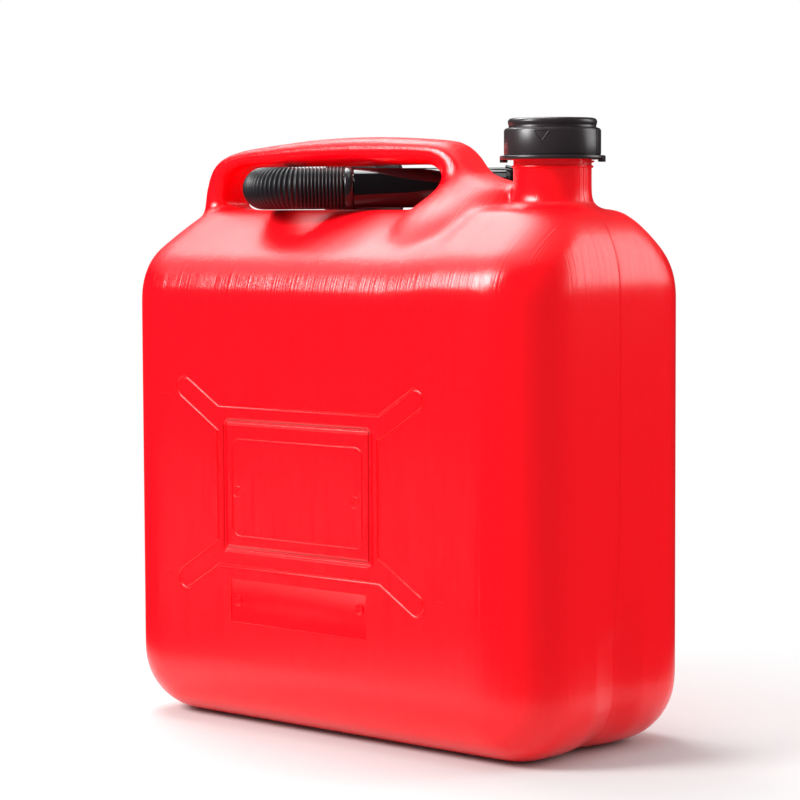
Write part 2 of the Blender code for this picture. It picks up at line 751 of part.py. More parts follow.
def make_spout_base():
    low = NUT_END_WALL + SEAT_GAP
    high = low + BASE_FLANGE_THICKNESS
    flange = NUT_BORE_RADIUS - 2 * SEAT_GAP
    spigot = SPIGOT_RADIUS
    profile = [
        (flange, high), (flange, low), (spigot, low), (spigot, low - SPIGOT_LENGTH),
        (spigot - SPIGOT_WALL, low - SPIGOT_LENGTH), (spigot - SPIGOT_WALL, high),
    ]
    mesh = turned("spout_base", profile, 32, True)
    along_nut(mesh)
    smooth(mesh)
    mesh_object("spout_base", mesh, black_pp)


def make_spout_seal():
    low = NUT_END_WALL + BASE_FLANGE_THICKNESS + 2 * SEAT_GAP
    high = low + SPOUT_SEAL_THICKNESS
    outer = NUT_BORE_RADIUS - 2 * SEAT_GAP
    inner = NECK_RADIUS - NECK_WALL - 2 * MM
    mesh = turned("spout_seal", [(outer, high), (outer, low), (inner, low), (inner, high)], 32, True)
    along_nut(mesh)
    smooth(mesh)
    mesh_object("spout_seal", mesh, white_foam)


clear_scene()
parts = make_collection("plastic_jerrycan")
cutters = make_collection("cutters")
red_hdpe = plastic("red_hdpe", (0.9, 0.01, 0.015), 0.4)
black_pp = plastic("black_polypropylene", (0.02, 0.018, 0.02), 0.35)
black_pe = plastic("black_polyethylene", (0.015, 0.015, 0.016), 0.45)
black_gloss = plastic("black_gloss_tube", (0.012, 0.011, 0.012), 0.15)
white_foam = plastic("white_seal_foam", (0.8, 0.79, 0.76), 0.7)

make_tank()
make_cap()
make_cap_seal()
make_hose()
make_cuff()
make_tube()
make_end_cap()
make_nut()
make_spout_base()
make_spout_seal()
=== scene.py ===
import json
import math

import bpy
from mathutils import Matrix, Vector

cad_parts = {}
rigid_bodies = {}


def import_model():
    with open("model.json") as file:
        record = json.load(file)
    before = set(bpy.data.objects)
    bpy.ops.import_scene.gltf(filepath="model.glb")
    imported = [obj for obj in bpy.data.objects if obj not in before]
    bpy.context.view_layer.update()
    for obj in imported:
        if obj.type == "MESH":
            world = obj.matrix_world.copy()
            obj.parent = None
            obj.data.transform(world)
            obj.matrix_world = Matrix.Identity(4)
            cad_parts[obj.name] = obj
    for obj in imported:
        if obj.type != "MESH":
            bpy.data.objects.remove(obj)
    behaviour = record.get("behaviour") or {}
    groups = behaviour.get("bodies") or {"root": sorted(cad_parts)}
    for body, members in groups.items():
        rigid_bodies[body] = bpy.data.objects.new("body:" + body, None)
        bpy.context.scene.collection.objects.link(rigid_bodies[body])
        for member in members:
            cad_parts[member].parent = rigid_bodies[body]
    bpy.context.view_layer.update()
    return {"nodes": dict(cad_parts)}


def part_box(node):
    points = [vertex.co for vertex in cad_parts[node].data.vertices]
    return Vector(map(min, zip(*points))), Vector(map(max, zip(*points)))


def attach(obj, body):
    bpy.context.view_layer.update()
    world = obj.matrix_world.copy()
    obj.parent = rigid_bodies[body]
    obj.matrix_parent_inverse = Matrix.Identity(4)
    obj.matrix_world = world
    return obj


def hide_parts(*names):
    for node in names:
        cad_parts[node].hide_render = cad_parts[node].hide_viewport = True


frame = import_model()
scene = bpy.context.scene
mm = 0.001
weld = 0.01 * mm


# Helpers


def linear(code):
    # an sRGB hex colour as linear rgba
    values = [int(code[i : i + 2], 16) / 255 for i in (0, 2, 4)]
    return [v / 12.92 if v <= 0.04045 else ((v + 0.055) / 1.055) ** 2.4 for v in values] + [1.0]


def addNode(tree, kind, inputs=(), **settings):
    node = tree.nodes.new(kind)
    for key, value in settings.items():
        setattr(node, key, value)
    for key, value in dict(inputs).items():
        if isinstance(value, bpy.types.NodeSocket):
            tree.links.new(value, node.inputs[key])
        else:
            node.inputs[key].default_value = value
    return node


def newMaterial(name):
    material = bpy.data.materials.new(name)
    material.use_nodes = True
    return material, material.node_tree, material.node_tree.nodes["Principled BSDF"]


def activate(piece):
    if bpy.context.object and bpy.context.object.mode != "OBJECT":
        bpy.ops.object.mode_set(mode="OBJECT")
    bpy.ops.object.select_all(action="DESELECT")
    piece.select_set(True)
    bpy.context.view_layer.objects.active = piece


def applyAll(piece):
    activate(piece)
    for modifier in list(piece.modifiers):
        bpy.ops.object.modifier_apply(modifier=modifier.name)


def settle(piece):
    activate(piece)
    bpy.ops.object.transform_apply(location=True, rotation=True, scale=True)


def finishPiece(piece, material, body, node, angle):
    # its looks, the body it rides on, the CAD solid it stands for, which is hidden, and the angle above
    # which its edges shade sharp
    settle(piece)
    piece.data.materials.clear()
    piece.data.materials.append(material)
    bpy.ops.object.shade_smooth_by_angle(angle=math.radians(angle))
    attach(piece, body)
    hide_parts(node)


def addModifier(piece, name, kind, **settings):
    modifier = piece.modifiers.new(name, kind)
    for key, value in settings.items():
        setattr(modifier, key, value)


def deselectMesh(piece, kind):
    activate(piece)
    bpy.ops.object.mode_set(mode="EDIT")
    bpy.ops.mesh.select_mode(type=kind)
    bpy.ops.mesh.select_all(action="DESELECT")
    bpy.ops.object.mode_set(mode="OBJECT")


def pickPoints(piece, test):
    # into edit mode with only the points that pass the test selected
    deselectMesh(piece, "VERT")
    for point in piece.data.vertices:
        point.select = test(point.co)
    bpy.ops.object.mode_set(mode="EDIT")


def pickFaces(piece, test):
    # the same for faces
    deselectMesh(piece, "FACE")
    for face in piece.data.polygons:
        face.select = test(face)
    bpy.ops.object.mode_set(mode="EDIT")


def leaveEdit():
    bpy.ops.object.mode_set(mode="OBJECT")


def cadCopy(node, name):
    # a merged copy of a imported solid, in world space
    source = frame["nodes"][node]
    bpy.ops.object.select_all(action="DESELECT")
    piece = source.copy()
    piece.data = source.data.copy()
    piece.name = name
    scene.collection.objects.link(piece)
    place = source.matrix_world.copy()
    piece.parent = None
    piece.matrix_world = place
    settle(piece)
    bpy.ops.object.mode_set(mode="EDIT")
    bpy.ops.mesh.select_all(action="SELECT")
    bpy.ops.mesh.remove_doubles(threshold=weld)
    leaveEdit()
    return piece


def drawLine(name, points):
    # a point is extruded from place to place, as a chain of edges
    bpy.ops.object.select_all(action="DESELECT")
    bpy.ops.mesh.primitive_plane_add(size=mm, location=(0, 0, 0))
    piece = bpy.context.object
    piece.name = name
    bpy.ops.object.mode_set(mode="EDIT")
    bpy.ops.mesh.select_mode(type="VERT")
    bpy.ops.mesh.select_all(action="SELECT")
    bpy.ops.mesh.merge(type="CENTER")
    bpy.ops.transform.translate(value=points[0])
    for last, point in zip(points, points[1:]):
        step = [new - old for new, old in zip(point, last)]
        bpy.ops.mesh.extrude_region_move(TRANSFORM_OT_translate={"value": step})
    return piece


def drawRoute(name, places, radius=0.0, roundness=0, closed=False):
    # a curve through the places, and a round bar along it where it has a radius
    curve = bpy.data.curves.new(name, "CURVE")
    curve.dimensions = "3D"
    curve.bevel_depth = radius
    curve.bevel_resolution = roundness
    spline = curve.splines.new("POLY")
    spline.use_cyclic_u = closed
    spline.points.add(len(places) - 1)
    for point, place in zip(spline.points, places):
        point.co = (*place, 1)
    route = bpy.data.objects.new(name, curve)
    scene.collection.objects.link(route)
    return route


def closedBar(name, places, radius, roundness):
    activate(drawRoute(name, places, radius, roundness, True))
    bpy.ops.object.convert(target="MESH")
    return bpy.context.object


def addBox(place, size, turn):
    bpy.ops.object.select_all(action="DESELECT")
    bpy.ops.mesh.primitive_cube_add(size=1, location=place, rotation=turn, scale=size)
    piece = bpy.context.object
    settle(piece)
    return piece


def closeSkin():
    # the drawn or spun points become one closed skin with outward faces
    bpy.ops.mesh.select_all(action="SELECT")
    bpy.ops.mesh.remove_doubles(threshold=weld)
    bpy.ops.mesh.normals_make_consistent(inside=False)
    leaveEdit()


def turnedPiece(name, profile, steps):
    # an outline of radius and height, spun round Z
    piece = drawLine(name, [(radius, 0, height) for radius, height in profile])
    bpy.ops.mesh.select_all(action="SELECT")
    bpy.ops.mesh.spin(steps=steps, angle=2 * math.pi, center=(0, 0, 0), axis=(0, 0, 1))
    closeSkin()
    return piece


def roundEdges(piece, width, segments=3, angle=30):
    addModifier(
        piece,
        "rounded edges",
        "BEVEL",
        width=width,
        segments=segments,
        limit_method="ANGLE",
        angle_limit=math.radians(angle),
    )
    applyAll(piece)


def joinPieces(piece, others):
    activate(piece)
    for other in others:
        other.select_set(True)
    bpy.ops.object.join()
    return piece


def cutAway(piece, cutter):
    addModifier(piece, "cut", "BOOLEAN", operation="DIFFERENCE", object=cutter, solver="EXACT")
    applyAll(piece)
    bpy.data.objects.remove(cutter)


# the same trapezoid thread runs on the neck, in the cap and in the spout's nut
threadFacts = {
    "pitch": 4 * mm,
    "foot": 1.9 * mm,
    "tip": 0.9 * mm,
    "height": 1.6 * mm,
    "stepsPerTurn": 64,
    "start": math.radians(42),
    "neckTurns": 4.5,
    "capTurns": 2.5,
    "nutTurns": 3,
}


def threadRidge(name, facts, radius, reach, low, turns, start):
    # a screw thread: its section is turned and lifted by one pitch a turn, and its ends are closed
    foot, tip = facts["foot"] / 2, facts["tip"] / 2
    section = [
        (radius, 0, low - foot),
        (reach, 0, low - tip),
        (reach, 0, low + tip),
        (radius, 0, low + foot),
    ]
    steps = round(facts["stepsPerTurn"] * turns)
    piece = drawLine(name, [*section, section[0]])
    bpy.ops.mesh.select_all(action="SELECT")
    bpy.ops.mesh.remove_doubles(threshold=weld)
    leaveEdit()
    addModifier(
        piece,
        "thread",
        "SCREW",
        angle=2 * math.pi * turns,
        screw_offset=facts["pitch"] * turns,
        steps=steps,
        render_steps=steps,
        use_merge_vertices=True,
        merge_threshold=weld,
    )
    applyAll(piece)
    bpy.ops.object.mode_set(mode="EDIT")
    bpy.ops.mesh.select_all(action="SELECT")
    bpy.ops.mesh.fill_holes(sides=4)
    bpy.ops.mesh.normals_make_consistent(inside=False)
    leaveEdit()
    piece.rotation_euler = (0, 0, start)
    settle(piece)
    return piece


# Camera, fitted to the photograph

cameraFacts = {
    "sensor": 36,
    "turn": 41.9686,
    "dip": 4.12127,
    "roll": -0.25271,
    "distance": 1.867110,
    "aim": (-0.000335475, 0.22388420),
    "lens": 122.546,
}


def addCamera(facts):
    turn, dip, roll = (math.radians(facts[key]) for key in ("turn", "dip", "roll"))
    forward = Vector((-math.sin(turn) * math.cos(dip), math.cos(turn) * math.cos(dip), -math.sin(dip)))
    right = Vector((math.cos(turn), math.sin(turn), 0))
    up = right.cross(forward)
    rolledRight = right * math.cos(roll) + up * math.sin(roll)
    rolledUp = up * math.cos(roll) - right * math.sin(roll)
    place = right * facts["aim"][0] + Vector((0, 0, facts["aim"][1])) - forward * facts["distance"]
    data = bpy.data.cameras.new("camera")
    data.lens = facts["lens"]
    data.sensor_width = facts["sensor"]
    camera = bpy.data.objects.new("camera", data)
    scene.collection.objects.link(camera)
    matrix = Matrix((rolledRight, rolledUp, -forward)).transposed().to_4x4()
    matrix.translation = place
    camera.matrix_world = matrix
    scene.camera = camera


addCamera(cameraFacts)

# Floor, backdrop and lights

studio = {
    "floorColour": "C6C6C6",
    "floorRadius": 0.5,
    "fadeStart": 0.2,
    "fill": 0.75,
    "sheen": 0.03,
}


def addFloor(facts):
    # a pale paper sweep, lit to white, whose edge fades into the white surround
    bpy.ops.mesh.primitive_circle_add(
        vertices=96, radius=facts["floorRadius"], fill_type="NGON", location=(0, 0, -0.0002)
    )
    floor = bpy.context.object
    floor.name = "studio_floor"
    material, tree, shader = newMaterial("white_paper_sweep")
    shader.inputs["Base Color"].default_value = linear(facts["floorColour"])
    shader.inputs["Roughness"].default_value = 0.9
    shader.inputs["Specular IOR Level"].default_value = 0.0
    place = addNode(tree, "ShaderNodeTexCoord").outputs["Object"]
    far = addNode(tree, "ShaderNodeVectorMath", {0: place}, operation="LENGTH")
    fade = addNode(
        tree,
        "ShaderNodeMapRange",
        {
            "Value": far.outputs["Value"],
            "From Min": facts["fadeStart"],
            "From Max": facts["floorRadius"],
            "To Min": 1.0,
            "To Max": 0.0,
        },
        interpolation_type="SMOOTHSTEP",
    )
    tree.links.new(fade.outputs[0], shader.inputs["Alpha"])
    floor.data.materials.append(material)


def addWorld(facts):
    world = bpy.data.worlds.new("studio")
    scene.world = world
    world.use_nodes = True
    tree = world.node_tree
    tree.nodes.clear()
    path = addNode(tree, "ShaderNodeLightPath")
    direct = addNode(tree, "ShaderNodeBackground", {"Color": linear("FFFFFF"), "Strength": 1.0})
    # the full red hides faint reflections, so the room is dimmer to the sheen than to the matt colour
    level = addNode(
        tree,
        "ShaderNodeMapRange",
        {"Value": path.outputs["Is Diffuse Ray"], "To Min": facts["sheen"], "To Max": facts["fill"]},
    )
    room = addNode(tree, "ShaderNodeBackground", {"Color": linear("FFFFFF"), "Strength": level.outputs[0]})
    mixed = addNode(
        tree,
        "ShaderNodeMixShader",
        {0: path.outputs["Is Camera Ray"], 1: room.outputs[0], 2: direct.outputs[0]},
    )
    addNode(tree, "ShaderNodeOutputWorld", {"Surface": mixed.outputs[0]})


# radiance is the brightness of the lamp's face, where white paper in full light is about 1;
# the key has a bright middle and a dimmer edge, so that its highlight ends softly
lamps = {
    "key_bank": {"place": (-0.76, -1.53, 1.36), "aim": (0.1, 0, 0.3), "size": (0.6, 0.7), "radiance": 22},
    "key_edge": {"place": (-0.78, -1.57, 1.38), "aim": (0.1, 0, 0.3), "size": (1.0, 1.0), "radiance": 8},
    "top_left_bank": {"place": (-0.8, 0.3, 1.75), "aim": (0, 0, 0.3), "size": (0.85, 1.1), "radiance": 9},
    "left_strip": {"place": (-1.25, 0.64, 1.63), "aim": (0, 0, 0.35), "size": (1.7, 0.2), "radiance": 7},
    "back_right_bank": {"place": (1.26, 1.54, 1.0), "aim": (0.1, 0, 0.3), "size": (1.2, 1.2), "radiance": 4},
    "low_left_card": {
        "place": (-1.44, -1.5, -0.12),
        "aim": (0, -0.1, 0.2),
        "size": (0.16, 0.22),
        "radiance": 1.6,
    },
    "top_strip": {"place": (0.28, -0.31, 2.0), "aim": (0, 0, 0.37), "size": (0.3, 0.9), "radiance": 3},
}


def addLamps(table):
    for name, facts in table.items():
        data = bpy.data.lights.new(name, "AREA")
        data.shape = "RECTANGLE"
        data.size, data.size_y = facts["size"]
        data.energy = facts["radiance"] * math.pi * facts["size"][0] * facts["size"][1]
        lamp = bpy.data.objects.new(name, data)
        scene.collection.objects.link(lamp)
        lamp.location = facts["place"]
        sight = Vector(facts["aim"]) - Vector(facts["place"])
        lamp.rotation_euler = sight.to_track_quat("-Z", "Y").to_euler()


addFloor(studio)
addWorld(studio)
addLamps(lamps)
scene.view_settings.view_transform = "Standard"
print("stage ready")

# Materials

# the draw lines are some tenths of a millimetre apart on the real wall; here they are
# coarser and deeper, so that they show
redFacts = {
    "colour": "FC0012",
    "lineScale": 1100,
    "alongScale": 8,
    "lineStrength": 0.6,
    "lineHeight": 0.4 * mm,
    "endWall": (0.6, 0.8),
    "roof": (0.38, 0.6),
    "wallRoughness": 0.19,
    "roofRoughness": 0.4,
}


def redPlastic(facts):
    # blow-moulded HDPE: the die leaves fine draw lines that run down the walls, and noise
    # stretched along them stands for them on the sides and on the ends
    material, tree, shader = newMaterial("red_hdpe_blow_moulded")
    place = addNode(tree, "ShaderNodeTexCoord").outputs["Object"]
    normal = addNode(tree, "ShaderNodeNewGeometry").outputs["Normal"]
    split = addNode(tree, "ShaderNodeSeparateXYZ", {0: normal})
    sideways = addNode(tree, "ShaderNodeMath", {0: split.outputs["X"]}, operation="ABSOLUTE")
    low, high = facts["endWall"]
    onEnds = addNode(
        tree, "ShaderNodeMapRange", {"Value": sideways.outputs[0], "From Min": low, "From Max": high}
    )
    across, along = facts["lineScale"], facts["alongScale"]
    noises = []
    for scale in ((across, along, along), (along, across, along)):
        lines = addNode(tree, "ShaderNodeMapping", {"Vector": place, "Scale": scale})
        noises.append(
            addNode(tree, "ShaderNodeTexNoise", {"Vector": lines.outputs[0], "Scale": 1.0, "Detail": 2.0})
        )
    streaks = addNode(
        tree,
        "ShaderNodeMix",
        {0: onEnds.outputs[0], 2: noises[0].outputs[0], 3: noises[1].outputs[0]},
    )
    # the roof is duller than the walls, from hands, spout and stacking
    low, high = facts["roof"]
    dulled = addNode(
        tree,
        "ShaderNodeMapRange",
        {
            "Value": split.outputs["Z"],
            "From Min": low,
            "From Max": high,
            "To Min": facts["wallRoughness"],
            "To Max": facts["roofRoughness"],
        },
    )
    shader.inputs["Base Color"].default_value = linear(facts["colour"])
    shader.inputs["Specular IOR Level"].default_value = 0.5
    tree.links.new(dulled.outputs[0], shader.inputs["Roughness"])
    bump = addNode(
        tree,
        "ShaderNodeBump",
        {
            "Height": streaks.outputs[0],
            "Strength": facts["lineStrength"],
            "Distance": facts["lineHeight"],
        },
    )
    tree.links.new(bump.outputs[0], shader.inputs["Normal"])
    return material


def blackPlastic(name, code, roughness, grain):
    # moulded polypropylene and polyethylene, with the fine grain of an eroded mould drawn
    # coarse enough to break up the highlights
    material, tree, shader = newMaterial(name)
    place = addNode(tree, "ShaderNodeTexCoord").outputs["Object"]
    noise = addNode(tree, "ShaderNodeTexNoise", {"Vector": place, "Scale": grain, "Detail": 4.0})
    spread = addNode(
        tree,
        "ShaderNodeMapRange",
        {"Value": noise.outputs[0], "To Min": roughness - 0.05, "To Max": roughness + 0.07},
    )
    shader.inputs["Base Color"].default_value = linear(code)
    tree.links.new(spread.outputs[0], shader.inputs["Roughness"])
    bump = addNode(
        tree, "ShaderNodeBump", {"Height": noise.outputs[0], "Strength": 0.1, "Distance": 0.1 * mm}
    )
    tree.links.new(bump.outputs[0], shader.inputs["Normal"])
    return material


redHdpe = redPlastic(redFacts)
# cap, nut and flange are injection-moulded; hose and cuff are blown; the seals are pressed foam
capBlack = blackPlastic("black_pp_moulded", "2C2527", 0.3, 900)
hoseBlack = blackPlastic("black_pe_corrugated", "17151A", 0.42, 700)
glossBlack = blackPlastic("black_pe_glossy", "0C0A0C", 0.1, 200)
cuffBlack = blackPlastic("black_pe_satin_cuff", "1B191C", 0.25, 400)
sealWhite = blackPlastic("seal_foam_pressed", "E5E2DB", 0.7, 1500)

# The tank: one hollow blow moulding

tankFacts = {
    "voxel": 3.0 * mm,
    "blendRounds": 12,
    "wall": 91 * mm,
    "neckX": 133.5 * mm,
    "neckRadius": 25.6 * mm,
    "neckBore": 22.6 * mm,
    "rim": 408 * mm,
    "boreFoot": 318 * mm,
    "seamHalf": 0.5 * mm,
    "seamDepth": 0.25 * mm,
    "stopRing": 381.6 * mm,
    "stopRingRadius": 0.9 * mm,
    "threadStart": 384.9 * mm,
}

# the lines pressed into the walls, measured from the middle of the cross
crossFacts = {
    "centre": (-12 * mm, 167 * mm),
    "half": (74 * mm, 54.5 * mm),
    "armEnd": (106 * mm, 65.8 * mm),
    "armRadius": 7 * mm,
    "innerHalf": (66.5 * mm, 43.1 * mm),
    "innerRadius": 1.5 * mm,
    "labelHalf": (60 * mm, 33 * mm),
    "labelRadius": 6.5 * mm,
    "lineRadius": 1.5 * mm,
    "fineLineRadius": 0.9 * mm,
    "depth": 1.1 * mm,
    "fineDepth": 0.75 * mm,
    "plateSize": (125 * mm, 29.5 * mm),
    "plateDrop": 78.2 * mm,
    "plateDepth": 0.8 * mm,
    "bossRadius": 3.7 * mm,
    "bossHeight": 1.0 * mm,
    "bossMiddle": 0.52 * mm,
    "bossSlotDepth": 0.6 * mm,
    "bosses": ((-56 * mm, -3 * mm), (53 * mm, -3 * mm), (-56 * mm, -78.2 * mm), (56 * mm, -73.5 * mm)),
    "ringRadius": 0.6 * mm,
    "ringDepth": 0.4 * mm,
    "slot": (5.6 * mm, 0.9 * mm),
    "slotDepth": 0.5 * mm,
    "slotTilt": math.radians(-35),
    "tickReach": (126 * mm, 61.5 * mm),
    "tick": (9 * mm, 0.6 * mm),
    "tickDepth": 0.25 * mm,
}


def outerSkin(facts):
    # the outside of the moulding, closed over its mouth, with its pressed lines smoothed out again
    tank = cadCopy("tank_body", "tank_shell")
    pickFaces(tank, lambda face: face.center.z > facts["rim"] - 0.5 * mm and abs(face.normal.z) > 0.9)
    bpy.ops.mesh.delete(type="FACE")
    leaveEdit()
    end = max(point.co.x for point in tank.data.vertices)
    pickPoints(tank, lambda place: place.x > end - 0.1 * mm)
    bpy.ops.mesh.select_linked()
    bpy.ops.mesh.select_all(action="INVERT")
    bpy.ops.mesh.delete(type="VERT")
    bpy.ops.mesh.select_all(action="SELECT")
    bpy.ops.mesh.fill_holes(sides=0)
    bpy.ops.mesh.normals_make_consistent(inside=False)
    leaveEdit()
    centreX, centreZ = crossFacts["centre"]
    reachX = crossFacts["armEnd"][0] + 2 * crossFacts["armRadius"]
    highest = centreZ + crossFacts["armEnd"][1] + 2 * crossFacts["armRadius"]
    lowest = centreZ - crossFacts["plateDrop"] - crossFacts["plateSize"][1]
    for side in (-1, 1):
        pickPoints(
            tank,
            lambda place: facts["wall"] - 2 * mm < side * place.y < facts["wall"] + mm
            and abs(place.x - centreX) < reachX
            and lowest < place.z < highest,
        )
        bpy.ops.transform.resize(value=(1, 0, 1), center_override=(0, side * facts["wall"], 0))
        leaveEdit()
    return tank


def addSeam(tank, facts):
    # the parting line, where the two mould halves met
    for offset in (-facts["seamHalf"], 0, facts["seamHalf"]):
        pickPoints(tank, lambda place: True)
        bpy.ops.mesh.bisect(plane_co=(0, offset, 0), plane_no=(0, 1, 0))
        leaveEdit()
    pickPoints(tank, lambda place: abs(place.y) < 0.02 * mm and place.z < facts["rim"] - 4 * mm)
    bpy.ops.transform.shrink_fatten(value=-facts["seamDepth"])
    leaveEdit()


def crossOutline(facts):
    # one quarter, from the frame's side round the arm's end to its corner, mirrored into four
    halfX, halfZ = facts["half"]
    endX, endZ = facts["armEnd"]
    radius = facts["armRadius"]
    reach = math.hypot(endX - halfX, endZ - halfZ)
    tilt = math.atan2(endZ - halfZ, endX - halfX) + math.asin(radius / reach)
    quarter = [(halfX, (endZ - radius / math.cos(tilt)) - (endX - halfX) * math.tan(tilt))]
    for step in range(13):
        angle = tilt - math.pi / 2 + math.pi * step / 12
        quarter.append((endX + radius * math.cos(angle), endZ + radius * math.sin(angle)))
    quarter.append((halfX, halfZ))
    outline = []
    for signX, signZ, flip in ((1, 1, False), (-1, 1, True), (-1, -1, False), (1, -1, True)):
        points = reversed(quarter) if flip else quarter
        outline += [(signX * x, signZ * z) for x, z in points]
    return outline


def roundedOutline(half, radius, steps):
    outline = []
    for quarter, (signX, signZ) in enumerate(((1, 1), (-1, 1), (-1, -1), (1, -1))):
        for step in range(steps + 1):
            angle = math.pi / 2 * (quarter + step / steps)
            x = signX * (half[0] - radius) + radius * math.cos(angle)
            z = signZ * (half[1] - radius) + radius * math.sin(angle)
            outline.append((x, z))
    return outline


def lineCutter(outline, radius, depth, side):
    # a round bar along the closed outline, sunk into the wall by the line's depth
    centreX, centreZ = crossFacts["centre"]
    reach = side * (tankFacts["wall"] + radius - depth)
    places = [(centreX + x, reach, centreZ + z) for x, z in outline]
    return closedBar("pressed_line", places, radius, 6)


def blockCutter(x, z, size, depth, tilt=0.0):
    centreX, centreZ = crossFacts["centre"]
    place = (centreX + x, -tankFacts["wall"], centreZ + z)
    return addBox(place, (size[0], 2 * depth, size[1]), (0, tilt, 0))


def pressedMarks(facts):
    # the cross, its frame and the label's frame on both walls, and four ticks on the front
    marks = []
    for side in (-1, 1):
        marks.append(lineCutter(crossOutline(facts), facts["lineRadius"], facts["depth"], side))
        inner = roundedOutline(facts["innerHalf"], facts["innerRadius"], 3)
        marks.append(lineCutter(inner, facts["lineRadius"], facts["depth"], side))
        label = roundedOutline(facts["labelHalf"], facts["labelRadius"], 6)
        marks.append(lineCutter(label, facts["fineLineRadius"], facts["fineDepth"], side))
    tickX, tickZ = facts["tickReach"]
    for signX in (-1, 1):
        for signZ in (-1, 1):
            marks.append(blockCutter(signX * tickX, signZ * tickZ, facts["tick"], facts["tickDepth"]))
    return joinPieces(marks[0], marks[1:])


def insertMarks(facts):
    # the screwed mould inserts leave a ring and a slot beside the label's frame
    marks = []
    radius = facts["bossRadius"]
    for x, z in facts["bosses"][:2]:
        ring = [(x + dx, z + dz) for dx, dz in roundedOutline((radius, radius), radius, 8)]
        marks.append(lineCutter(ring, facts["ringRadius"], facts["ringDepth"], -1))
        marks.append(blockCutter(x, z, facts["slot"], facts["slotDepth"], facts["slotTilt"]))
    return joinPieces(marks[0], marks[1:])


def plateBosses(facts):
    # low round bosses with a slot each, on the floor of the bare plate
    bosses = []
    centreX, centreZ = facts["centre"]
    for x, z in facts["bosses"][2:]:
        bpy.ops.object.select_all(action="DESELECT")
        bpy.ops.mesh.primitive_cylinder_add(
            vertices=32,
            radius=facts["bossRadius"],
            depth=facts["bossHeight"],
            location=(centreX + x, -tankFacts["wall"] + facts["bossMiddle"], centreZ + z),
            rotation=(math.pi / 2, 0, 0),
        )
        boss = bpy.context.object
        settle(boss)
        roundEdges(boss, 0.3 * mm, 2)
        cutAway(boss, blockCutter(x, z, facts["slot"], facts["bossSlotDepth"], facts["slotTilt"]))
        bosses.append(boss)
    return bosses


def buildTank(facts):
    tank = outerSkin(facts)
    addModifier(tank, "even skin", "REMESH", mode="VOXEL", voxel_size=facts["voxel"])
    addModifier(tank, "flowing blends", "SMOOTH", factor=0.5, iterations=facts["blendRounds"])
    applyAll(tank)
    addSeam(tank, facts)
    bpy.ops.object.select_all(action="DESELECT")
    above = 10 * mm
    middle = (facts["rim"] + facts["boreFoot"] + above) / 2
    bpy.ops.mesh.primitive_cylinder_add(
        vertices=96,
        radius=facts["neckBore"],
        depth=facts["rim"] - facts["boreFoot"] + above,
        location=(facts["neckX"], 0, middle),
    )
    bore = bpy.context.object
    settle(bore)
    cutAway(tank, joinPieces(pressedMarks(crossFacts), [bore]))
    cutAway(tank, insertMarks(crossFacts))
    plate = blockCutter(0, -crossFacts["plateDrop"], crossFacts["plateSize"], crossFacts["plateDepth"])
    roundEdges(plate, 0.5 * mm, 2)
    cutAway(tank, plate)
    bosses = plateBosses(crossFacts)
    bpy.ops.object.select_all(action="DESELECT")
    bpy.ops.mesh.primitive_torus_add(
        location=(facts["neckX"], 0, facts["stopRing"]),
        major_radius=facts["neckRadius"],
        minor_radius=facts["stopRingRadius"],
        major_segments=96,
        minor_segments=12,
    )
    ring = bpy.context.object
    settle(ring)
    thread = threadRidge(
        "neck_thread",
        threadFacts,
        facts["neckRadius"] - 0.6 * mm,
        facts["neckRadius"] + threadFacts["height"],
        facts["threadStart"],
        threadFacts["neckTurns"],
        threadFacts["start"],
    )
    thread.location = (facts["neckX"], 0, 0)
    settle(thread)
    joinPieces(tank, [*bosses, ring, thread])
    finishPiece(tank, redHdpe, "can", "tank_body", 28)


buildTank(tankFacts)
print("tank ready")

# The cap: an injection moulding with two lugs to squeeze, and its pressed foam seal

capFacts = {
    "low": 386.3 * mm,
    "flange": 34.2 * mm,
    "flangeTop": 388.9 * mm,
    "skirt": 31.5 * mm,
    "bore": 28.4 * mm,
    "ledge": 406.6 * mm,
    "disc": 29.0 * mm,
    "top": 413.1 * mm,
    "under": 410.4 * mm,
    "lugTurn": math.radians(24.5),
    "lugWidth": 8.0 * mm,
    "lugDepth": 3.4 * mm,
    "lugInset": 1.4 * mm,
    "lugFoot": 384.5 * mm,
    "slits": (math.radians(13), math.radians(20)),
    "slitWidth": 0.7 * mm,
    "slitDepth": 1.8 * mm,
    "slitHeight": 17.4 * mm,
    "slitDrop": 8 * mm,
    "mark": math.radians(-64),
    "markWidth": 9.6 * mm,
    "markHeight": 7.0 * mm,
    "markTop": 404.4 * mm,
    "markLine": 0.35 * mm,
}


def capMark(facts, turn):
    # a plain triangle, raised on the skirt where the thumb presses
    corners = [(-0.5, 0), (0.5, 0), (0, -1)]
    reach = facts["skirt"] - 0.05 * mm
    steps = 6
    places = []
    for start, end in zip(corners, corners[1:] + corners[:1]):
        for step in range(steps):
            across = start[0] + (end[0] - start[0]) * step / steps
            down = start[1] + (end[1] - start[1]) * step / steps
            angle = turn + across * facts["markWidth"] / facts["skirt"]
            height = facts["markTop"] + down * facts["markHeight"]
            places.append((reach * math.cos(angle), reach * math.sin(angle), height))
    return closedBar("press_mark", places, facts["markLine"], 2)


def skirtSlits(facts):
    # narrow grooves beside each lug, where the skirt flexes when squeezed
    slits = []
    skirt, height = facts["skirt"], facts["ledge"] - facts["slitDrop"]
    size = (facts["slitDepth"], facts["slitWidth"], facts["slitHeight"])
    for side in (0, math.pi):
        for angle in facts["slits"]:
            turn = angle + side
            place = (skirt * math.cos(turn), skirt * math.sin(turn), height)
            slits.append(addBox(place, size, (0, 0, turn)))
    return joinPieces(slits[0], slits[1:])


